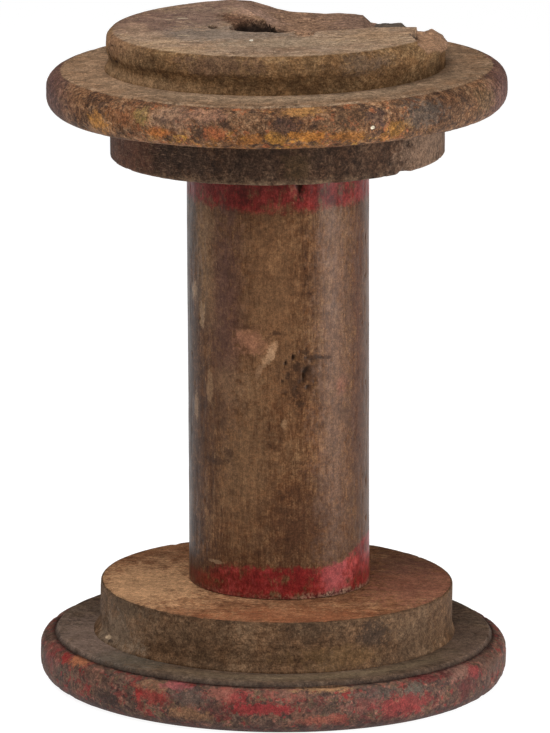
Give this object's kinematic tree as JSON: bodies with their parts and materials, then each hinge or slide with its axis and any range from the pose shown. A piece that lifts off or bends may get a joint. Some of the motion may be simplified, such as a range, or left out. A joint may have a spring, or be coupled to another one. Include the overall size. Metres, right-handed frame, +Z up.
{
  "type": "empty wooden mill spool",
  "caption": "Tall empty wooden spool for yarn or thread: a plain bored barrel between two wide stepped heads built up of turned discs.",
  "frame": {"origin": "on the floor, under the middle of the bottom rim", "axes": "+Z up, from the bottom head to the top head; -Y is the front, the side with the boss's unbroken edge"},
  "size_m": [0.183, 0.183, 0.2605],
  "materials": {
    "barrel_wood": "dark worn varnish with crimson bands at both ends",
    "boss_wood": "weathered, dry, grey-brown",
    "top_rim_wood": "worn brown with ochre patches",
    "top_backing_wood": "dark worn varnish",
    "bottom_backing_wood": "bare tan wood, dark side",
    "bottom_rim_paint": "patchy worn red paint over brown wood",
    "peg_wood": "bare, dry",
    "iron": "rusted"
  },
  "bodies": {
    "root": {"barrel": "barrel_wood", "boss_nail": "iron", "bottom_backing_disc": "bottom_backing_wood", "bottom_head_peg_1": "peg_wood", "bottom_head_peg_2": "peg_wood", "bottom_head_peg_3": "peg_wood", "bottom_head_peg_4": "peg_wood", "bottom_rim_disc": "bottom_rim_paint", "top_backing_disc": "top_backing_wood", "top_boss_disc": "boss_wood", "top_head_peg_1": "peg_wood", "top_head_peg_2": "peg_wood", "top_head_peg_3": "peg_wood", "top_head_peg_4": "peg_wood", "top_rim_disc": "top_rim_wood"}
  },
  "joints": []
}
